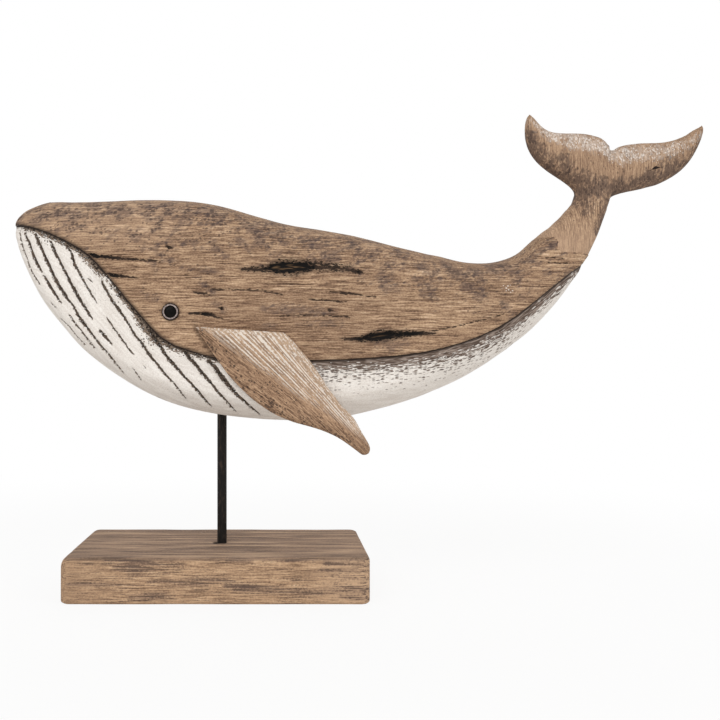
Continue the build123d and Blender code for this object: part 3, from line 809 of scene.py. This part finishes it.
def body_finish():
    wood = Finish("reclaimed_timber_and_paint", roughness=0.85)
    below = wood.stored("below_jaw")
    cut = wood.stored("cut")
    half = wood.stored("cut_half")
    along = wood.axis("X")
    up = wood.axis("Z")
    rear = along.step(0, 0.05)
    is_painted = below.step(-0.05, 0.15)

    # Brown timber, a little paler above the brow and darker in the flank's middle
    level = wood.stored("level") * mm
    straight = wood.spot(along, level, up)
    wood.colour, height = timber(wood, straight, timber_browns)
    light_brow = along.step(0, -0.05) * up.step(0.205, 0.22)
    wood.cover(light_brow * 0.16, (220, 188, 158))
    dark_middle = up.step(0.192, 0.18) * along.step(-0.015, 0.015) * along.step(0.115, 0.08)
    wood.cover(dark_middle * 0.17, (96, 70, 56))

    # Grey stain in the old outer wood, in slanting patches of small flecks
    haze = wood.mottle((4, 1.6, 1.5), 3, (0, 0.3, 0), place=straight, rough=0.65)
    patches = wood.mottle((14, 12, 7), 2, (0, 0.5, 0))
    reach = wood.stored("from_back").step(50, 6)
    placed = wood.stored("stain").step(-3, 3.5)
    amount = (patches.step(0.42, 0.62) * 0.5 + 0.14) * reach + placed * 0.75
    flecks = wood.marks((2.3, 1, 1.4), amount * 0.55 + reach * 0.24 + 0.03, (0, 0.2, 0), place=straight)
    tint = (haze + amount * 0.24).step(0.5, 0.74) * amount.step(0, 0.4)
    wood.cover(tint * 0.52, (92, 76, 72))
    spots = wood.marks((4.6, 3, 3), amount * 0.4 + reach * 0.36, (0, 0.3, 0), (0.4, 0.2, 0.1), straight)
    wood.cover(spots * haze.step(0.38, 0.56) * 0.5, (78, 66, 66))
    wood.cover(flecks * (0.68 - rear * 0.16), (68, 55, 52))
    worn = wood.marks((1.4, 1.3, 1), wood.stored("scuffed").step(-2, 1.2) * 0.5, shift=(0.5, 0.1, 0.3))
    wood.cover(worn * along.step(0.1, 0.12) * 0.8, (232, 222, 212))
    # Painted shadow on the flank beside the fin's leading edge
    fin_shadow = wood.stored("beside_fin").step(2.4, 0.4)
    wood.cover(fin_shadow * 0.5, (58, 44, 36))

    # Splits, knots and pleats with ragged sides. Brown strands run through the knots.
    slivers = wood.mottle((2.4, 0.9, 0.8), 1.5, shift=(0.3, 0.3, 0.1))
    crumbs = wood.mottle((1.3, 1.1, 1.1), 1.5)
    split = (half * 1.1 + 0.2 - cut + (slivers - 0.5) * (1.6 + half * 2)).step(-0.2, 0.25)
    ragged = half.step(0.85, 1.2) * (half * 0.6 + half.step(2, 2.8) - cut).step(1, -0.6)
    split = split * (1 - ragged * (1 - wood.marks((2, 1.4, 0.8), 1, shift=(0.1, 0.2, 0.1))))
    pleat = (half * 1.2 + 0.1 - cut + (crumbs - 0.5) * (1.4 + half * 2.4)).step(-0.2, 0.25)
    inside = (split * (1 - is_painted) + pleat * is_painted) * half.step(0, 0.1)
    beside = wood.spot(along, level, wood.stored("side") * mm)
    strands = wood.mottle((9, 2, 0.7), 1, place=beside).step(0.46, 0.6)
    knot = wood.blend(strands * (half - cut - 1.8).step(0, 1.2) * 0.7, (14, 10, 8), (122, 94, 66))
    knot = wood.blend(half.step(0.9, 0.4), knot, (62, 48, 39))
    smudge = (half * 1.6 + 1.8 - cut + (slivers - 0.5) * 3).step(0, 3.2) * half.step(0.6, 1.6)
    wood.cover(smudge * 0.5, (72, 57, 48))
    crumbled = wood.stored("crumbled")
    black = wood.marks((1.7, 1.2, 0.9), crumbled.step(-1, 2) * 1.05, shift=(0.7, 0.2, 0.4))
    wood.cover(crumbled.step(-1.5, 2) * 0.55, (84, 66, 54))
    wood.cover(black * 0.9, (26, 20, 16))
    # Painted shade on the brown just above the jaw line, where its edge rounds into the groove
    edge = below.step(-2.5, 0.3) * (0.8 - rear * 0.6)
    wood.cover(edge, (62, 49, 41))
    wood.cover(inside, knot)

    # White paint below the jaw line, thin and brushed dry towards the tail. Beside the line it is rubbed
    # through: in front in a ragged strip, at the rear in a band of short dashes.
    flow = wood.drifted(wood.spot(along, level, below * mm), 1.6, 90)
    streaks = wood.mottle((5, 3, 0.55), 1, place=flow)
    band = wood.stored("band")
    front_bare = (band + 0.2 - below + (streaks - 0.5) * 6 + (crumbs - 0.5) * 7).step(-0.3, 0.5)
    left_on = wood.marks((3.4, 3, 0.58), (below - 1) / (band + 1) * 1.15, place=flow)
    share = below.step(26, 3) * along.step(0.21, 0.17)
    rubbed_off = wood.marks((2.8, 2, 0.5), share * 0.85, shift=(0.1, 0, 0), place=flow)
    rear_bare = (1 - left_on).either(rubbed_off)
    bare = (front_bare * (1 - rear) + rear_bare * rear).either(worn)
    dust = wood.marks((1, 1, 1), 0.12, shift=(0.2, 0.2, 0.9)) * 0.3
    covered = (1 - bare) * (1 - inside) * (1 - dust)
    brushed = wood.mottle((14, 5, 1.6), 2, place=flow) * 0.5 + wood.mottle((0.8, 0.8, 0.8), 1) * 0.5
    white = wood.ramp(brushed, [(0.34, 219, 210, 201), (0.64, 244, 238, 231)])
    # The bare wood beside the jaw line is painted darker as shade in the jaw groove, darkest at its top
    # just below the line
    rear_band = wood.ramp(streaks, [(0.38, 84, 70, 61), (0.5, 112, 96, 86), (0.64, 156, 141, 130)])
    front_band = wood.ramp(crumbs, [(0.42, 40, 32, 26), (0.6, 140, 123, 108)])
    bottom = wood.ramp(crumbs, [(0.4, 34, 27, 22), (0.62, 108, 93, 81)])
    wood_band = wood.blend(rear, front_band, rear_band)
    groove_wood_and_shade = wood.blend(below.step(0.5, 2.2), (40, 31, 26), wood_band)
    painted = wood.blend(covered, wood.blend(inside, groove_wood_and_shade, bottom), white)
    wood.cover(is_painted, painted)
    relief = (height - inside * 0.6) * (1 - is_painted) + is_painted * (covered * 0.6 + brushed * 0.15)
    return wood.join(height=relief, depth=0.3)


body = new_piece("carved_body", body_mesh, body_finish())
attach(body, "whale")
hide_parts("body_block")


# The tail: a second block with its grain upright, let into the body with a stepped joint and two pegs,
# then carved into the stock and the two flukes. White is rubbed into the flukes near their upper edges.
tail_face = 1.15
fluke_start = 240
tail_split_depth = 0.9
tail_splits = [[(272, 264.4, 0.4), (274.2, 265.4, 1.1), (276.4, 265.7, 0.4)]]

# Where the white is rubbed in
fluke_whites = [
    [(196.9, 296.5, 1.5), (205.3, 289.5, 3), (210.4, 286.9, 4), (227.5, 282.5, 6), (240.2, 279.3, 5),
     (244.7, 276.1, 3)],
    [(248, 275, 4), (252.9, 274.2, 6), (261.2, 274.9, 5), (275.2, 275.5, 4.5), (282.8, 276.1, 3.5),
     (294.2, 280.6, 2), (304, 287, 1)],
]

# Painted shade along the flukes' lower edges and down the back of the stock, and two small dark stain
# patches
fluke_shade_and_stain = [
    [(226, 250, 8), (211, 263, 9), (201, 271, 6), (195.7, 279.4, 4), (193.7, 288.7, 2)],
    [(228, 256, 6), (238, 252, 6), (247, 250, 6.5), (263, 252.5, 6.5), (279.5, 257.5, 6), (292.4, 265, 4.5),
     (300, 273, 3), (305, 282, 2)],
    [(243, 244, 5), (243, 236, 3.5), (238, 226, 2)], [(230, 238, 2), (232, 243, 2)],
    [(278, 268, 1), (283, 272, 1.5)],
]

# What the carver took off the flukes' upper edges, with the notch between them, and off their lower ones
fluke_top_trim = [
    (214, 0), (221, 0.35), (227, 0.55), (232, 0.35), (237, 0.1), (241.5, -0.2), (244.5, 0.6), (247, 2.2),
    (249.5, 1), (253, 0.3), (262, 0.3), (268, 0.1), (284, 0.2), (291, 0.4), (297, 0.5), (301, 0),
]
fluke_bottom_trim = [(236, 0), (241, 0.7), (247, 0.8), (255, 0.65), (272, 0.65), (278, 0)]

# A swell and a hollow in the front of the stock: each one's middle, reach and depth
stock_hollows = [((207, 226), 5.5, -1.2), ((214.5, 235.5), 6, 0.8)]

tail_mesh = even_copy("tail_block", "carved_tail", tail_face, rounds=2)
points, normals = read_points(tail_mesh)
flat = points[:, [0, 2]]
below = -from_line(flat, jaw_line)[0]
cut, half = from_lines(flat, tail_splits)
depth = tail_split_depth * np.clip(1.2 - np.abs(cut) / (half + 0.5), 0, 1) * half + jaw_groove(below)
depth += hand_carved(points)
for spot, reach, deep in stock_hollows:
    depth += deep * hollow(flat, spot, reach) * (normals[:, 0] < 0)
in_flukes = points[:, 2] > fluke_start
depth += trimmed(points, normals[:, 2], fluke_top_trim) * in_flukes
depth += trimmed(points, -normals[:, 2], fluke_bottom_trim) * in_flukes
points -= normals * depth[:, None]
write_points(tail_mesh, points)
store(
    tail_mesh, below_jaw=below, cut=cut, cut_half=half, level=straightened(points, 2, width=20),
    whitened=within(flat, fluke_whites), shaded=within(flat, fluke_shade_and_stain),
)


def tail_finish():
    wood = Finish("upright_timber", roughness=0.85)
    turn = (0, math.pi / 2, 0)
    along = wood.axis("X")
    up = wood.axis("Z")
    straight = wood.spot(along, wood.stored("level") * mm, up)
    wood.colour, height = timber(wood, straight, timber_browns, 15, 0.7, turn)
    below = wood.stored("below_jaw")
    cut = abs(wood.stored("cut"))
    half = wood.stored("cut_half")
    fluke = up.step(0.232, 0.246)
    wood.cover(fluke * 0.38, (168, 138, 114))
    wood.cover(up.step(0.246, 0.214) * 0.55, (195, 163, 136))
    patches = wood.mottle((9, 9, 12), 3, place=straight, rough=0.6)
    haze = wood.mottle((1.8, 1.5, 3), 3, place=straight, rough=0.65)
    # Painted shade along the flukes' lower edges, mixed with mottled stain: a dark tint and denser specks
    amount = wood.stored("shaded").step(-6, 4) * (0.6 + patches.step(0.4, 0.6) * 0.5)
    amount = amount + patches.step(0.48, 0.64) * fluke * 0.3
    specks = wood.marks((1.3, 2, 2), amount * 0.5 + 0.08 + fluke * 0.12, place=straight)
    tint = (haze + amount * 0.26).step(0.5, 0.72) * amount.step(0, 0.4)
    wood.cover(tint * 0.7, (80, 65, 60))
    wood.cover(specks * 0.6, (68, 55, 50))
    reach = wood.stored("whitened").step(-5, 4) * (0.7 + patches.step(0.42, 0.62) * 0.6)
    rubbed = wood.marks((0.8, 1.2, 1.3), reach * 0.8, shift=(0.3, 0.2, 0.1), place=straight)
    veil = (haze + reach * 0.22).step(0.5, 0.75) * reach.step(0, 0.5)
    wood.cover((rubbed * 0.7).either(veil * 0.28), (238, 229, 220))
    inside = (half - cut + (haze - 0.5) * 1.2).step(-0.1, 0.25)
    wood.cover(inside, (40, 31, 26))
    wood.cover(below.step(-0.1, 0.3), (96, 80, 70))
    return wood.join(height=height, depth=0.3)


tail = new_piece("carved_tail", tail_mesh, tail_finish())
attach(tail, "whale")
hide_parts("tail_block")


# The pegs inside the joints: plain birch dowels, glued into blind bores behind the fins and across the
# tail's joint. They are hidden once the whale is glued up.
def dowel_finish():
    wood = Finish("birch_dowel", roughness=0.6)
    lines = wood.mottle((6, 0.5, 0.5), 3)
    wood.colour = wood.ramp(lines, [(0.35, 176, 146, 112), (0.65, 208, 182, 148)])
    return wood.join(height=lines, depth=0.1)


dowels = dowel_finish()
for node in ("tail_dowels", "left_fin_dowels", "right_fin_dowels"):
    dress(node, dowels)


# The fins: flat-backed carved leaves, pegged and glued to the flanks. Their grain runs from root to tip
# and holds white rubbed into its lines above the ridge. Below the ridge the wood is darker and specked.
fin_face = 0.85
fin_wave_depth = 0.25
fin_hollow_depth = 0.5
fin_lead = [
    (-12.4, 163.2), (-10, 159), (-5.2, 151.2), (2.7, 139.4), (13.5, 126.6), (26.7, 115.8), (43.3, 107.4),
    (62.2, 101.9), (75.5, 95.1), (81.9, 90.1), (84.7, 88),
]
fin_trail = [
    (37.3, 160.2), (42.1, 156.2), (47.4, 151.1), (55.2, 142.7), (62.9, 131.3), (70, 121.2), (76.6, 113.3),
    (83.1, 104.8), (87.6, 96.6), (89.4, 91.6), (88.2, 88.7),
]

# The ridge that parts the washed upper face from the brown lower one, and the upper edge at the root
fin_ridge = [
    (-12, 162.5), (-3.7, 157.1), (6.8, 148.9), (19.8, 139.5), (32.7, 131.2), (46.8, 120.6), (63.3, 111.2),
    (84.5, 95.9), (92, 88),
]
fin_top = [(-17, 163.6), (-6, 162.8), (12, 161.8), (38, 160.4)]

# The root, from this height up, is carved out further at its two corners
root_start, root_height = 137, 26
front_corner_shift, rear_corner_shift = (-1.6, 0.6), (1.8, 0)

# The grain fans out from a spot beyond the tip
grain_focus = np.array((130, 45))
grain_pitch = 110


def worn_fin(node, name):
    """A fin with softened edges, and its grain's own directions and its two faces stored on it."""
    mesh = even_copy(node, name, fin_face, rounds=2)
    points, normals = read_points(mesh)
    flat = points[:, [0, 2]]
    lead = np.abs(from_line(flat, fin_lead)[0])
    trail = np.abs(from_line(flat, fin_trail)[0])
    across = lead / (lead + trail + 0.001)
    rise = np.clip((flat[:, 1] - root_start) / root_height, 0, 1) ** 1.5
    points[:, [0, 2]] += (rise * np.clip(1 - across * 2, 0, 1))[:, None] * front_corner_shift
    points[:, [0, 2]] += (rise * np.clip(across * 2 - 1, 0, 1))[:, None] * rear_corner_shift
    outer = normals[:, 1] * np.sign(points[:, 1].mean()) > 0.5
    depth = fin_wave_depth * (bumpy(points, 11, seed=6) + 0.4)
    depth += fin_hollow_depth * np.exp(-(((across - 0.24) / 0.13) ** 2)) * outer
    points -= normals * depth[:, None]
    write_points(mesh, points)
    from_focus = flat - grain_focus
    store(
        mesh, across=across, above=from_line(flat, fin_ridge)[0], from_top=-from_line(flat, fin_top)[0],
        run=np.hypot(*from_focus.T),
        lane=np.arctan2(from_focus[:, 1], -from_focus[:, 0]) * grain_pitch,
    )
    return mesh


def fin_finish():
    wood = Finish("whitewashed_timber", roughness=0.85)
    across = wood.stored("across")
    above = wood.stored("above")
    from_top = wood.stored("from_top")
    run = wood.stored("run")
    lane = wood.stored("lane")
    place = wood.spot(run * mm, lane * mm, wood.axis("Y") * 0.1)
    tans = [(92, 70, 55), (130, 102, 81), (163, 131, 104), (188, 154, 124), (210, 180, 150)]
    wood.colour, height = timber(wood, place, tans, run=14, width=0.6)

    # The white lies in threads along the grain, thicker at the rim and none below the ridge
    lines = wood.mottle((45, 0.62, 6), 0.6, place=place)
    broad = wood.mottle((40, 3, 6), 1, place=place, shift=(0.1, 0.6, 0))
    phase = lane * 4.4 + broad * 7
    ripples = phase.math("SINE", phase) * 0.5 + 0.5
    patches = wood.mottle((16, 7, 8), 2, place=place, shift=(0.3, 0, 0))
    crumbs = wood.mottle((1.6, 0.8, 2), 3, place=place, rough=0.7)
    rim_wash_and_highlight = from_top.step(5, 1.5).either(across.step(0.8, 0.95))
    washed = above.step(0, 5.5) * run.step(46, 58)
    # A pale veil of thin whitewash above the ridge, doubled at the top and trailing edges as a painted
    # highlight
    wood.cover(washed * (0.25 + rim_wash_and_highlight * 0.25), (208, 183, 158))
    threads = lines * 0.37 + ripples * 0.14 + crumbs * 0.35 + patches * 0.14
    threads = threads * (1 - rim_wash_and_highlight * 0.5) + crumbs * rim_wash_and_highlight * 0.5
    white = threads.step(0.492, 0.56) * washed.either(from_top.step(2.6, 1) * 0.8) * 0.88

    # Dark specks, mostly below the ridge and along the leading edge
    share = 0.19 + across.step(0.3, 0.02) * 0.3 + patches.step(0.45, 0.62) * 0.25
    dark = wood.marks((1.7, 1.1, 2), share * (1 - above.step(-1.5, 2.5) * 0.8), place=place)
    wood.cover(dark * 0.75, (62, 49, 44))
    wood.cover(white, (232, 221, 209))
    return wood.join(height=lines * 0.6 + height * 0.4, depth=0.35)


fin_wood = fin_finish()
for side in ("left", "right"):
    name = f"worn_{side}_fin"
    fin = new_piece(name, worn_fin(f"{side}_fin", name), fin_wood)
    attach(fin, "whale")
    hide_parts(f"{side}_fin")

# Painted shadow falls on the flanks along the fins' leading edges
points, _ = read_points(body_mesh)
root = [(along + front_corner_shift[0], up + front_corner_shift[1]) for along, up in fin_lead[:5]]
store(body_mesh, beside_fin=np.abs(from_line(points[:, [0, 2]], root)[0]))


# The eyes: short lengths of aged grey metal tube, pushed into bored sockets in both flanks so that their
# rims stand a little proud. Each holds a glossy black plug.
def ring_finish():
    metal = Finish("dull_metal", roughness=0.45, metallic=0.7)
    spots = metal.mottle((0.8, 0.8, 0.8), 3)
    shift = (-eye_spot[0] * mm, 0, -eye_spot[1] * mm)
    centred = metal.node("Mapping", {}, {"Vector": metal.place, "Location": shift, "Scale": (1, 0, 1)})
    radius = metal.node("VectorMath", {"operation": "LENGTH"}, {0: centred}, "Value")
    metal.colour = metal.ramp(spots, [(0.35, 112, 99, 95), (0.65, 186, 172, 166)])
    # Painted shade at the ring's outer edge, in the gap round its socket, and at its inner edge round the
    # plug
    metal.cover(radius.step(4.3 * mm, 4.8 * mm), (46, 36, 32))
    metal.cover(radius.step(3.9 * mm, 3.6 * mm), (52, 42, 36))
    return metal.join(roughness=0.35 + spots * 0.3, height=spots, depth=0.03)


def pupil_finish():
    plug = Finish("black_plug", roughness=0.35, specular=0.08)
    spots = plug.mottle((1.5, 1.5, 1.5), 2)
    plug.colour = plug.ramp(spots, [(0.3, 6, 5, 4), (0.7, 18, 16, 13)])
    return plug.join()


ring_metal = ring_finish()
pupil_black = pupil_finish()
for side in ("left", "right"):
    dress(f"{side}_eye_ring", ring_metal)
    dress(f"{side}_pupil", pupil_black)
